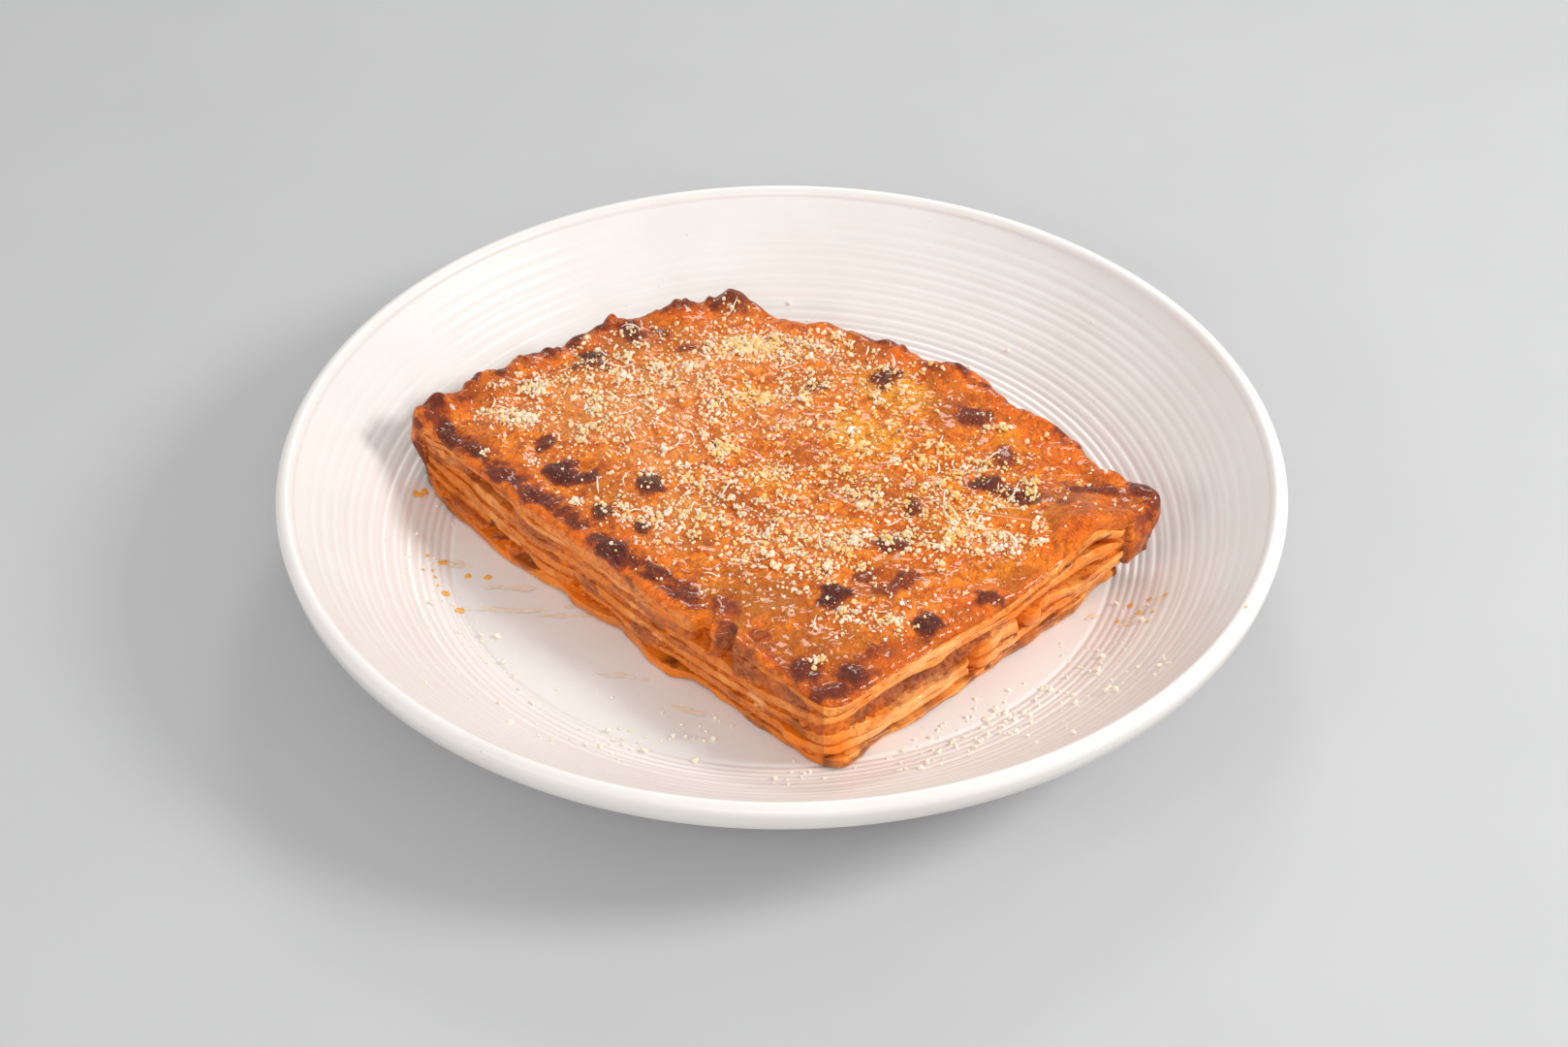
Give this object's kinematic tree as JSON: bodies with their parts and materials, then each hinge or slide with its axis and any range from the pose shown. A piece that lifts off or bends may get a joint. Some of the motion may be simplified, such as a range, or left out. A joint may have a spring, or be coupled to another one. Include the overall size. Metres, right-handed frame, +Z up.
{
  "type": "lasagne slice",
  "caption": "Slice of baked lasagne with grated cheese on top, cut on two sides to show its pasta sheets and meat sauce, served on a round ribbed white plate.",
  "frame": {"origin": "on the table, under the middle of the plate", "axes": "+Z up; +Y away from the viewer of the pictured side; +X to that viewer's right, so the slice's two cut sides face -X-Y and +X-Y"},
  "size_m": [0.28, 0.28, 0.0379],
  "materials": {
    "plate_glaze": "satin",
    "pasta": "moist",
    "ragu": "moist",
    "baked_crust": "glossy with oil"
  },
  "bodies": {
    "root": {"plate": "plate_glaze", "pasta_1": "pasta", "filling_1": "ragu", "pasta_2": "pasta", "filling_2": "ragu", "pasta_3": "pasta", "filling_3": "ragu", "pasta_4": "pasta", "filling_4": "ragu", "pasta_5": "pasta", "top_crust": "baked_crust"}
  },
  "joints": []
}
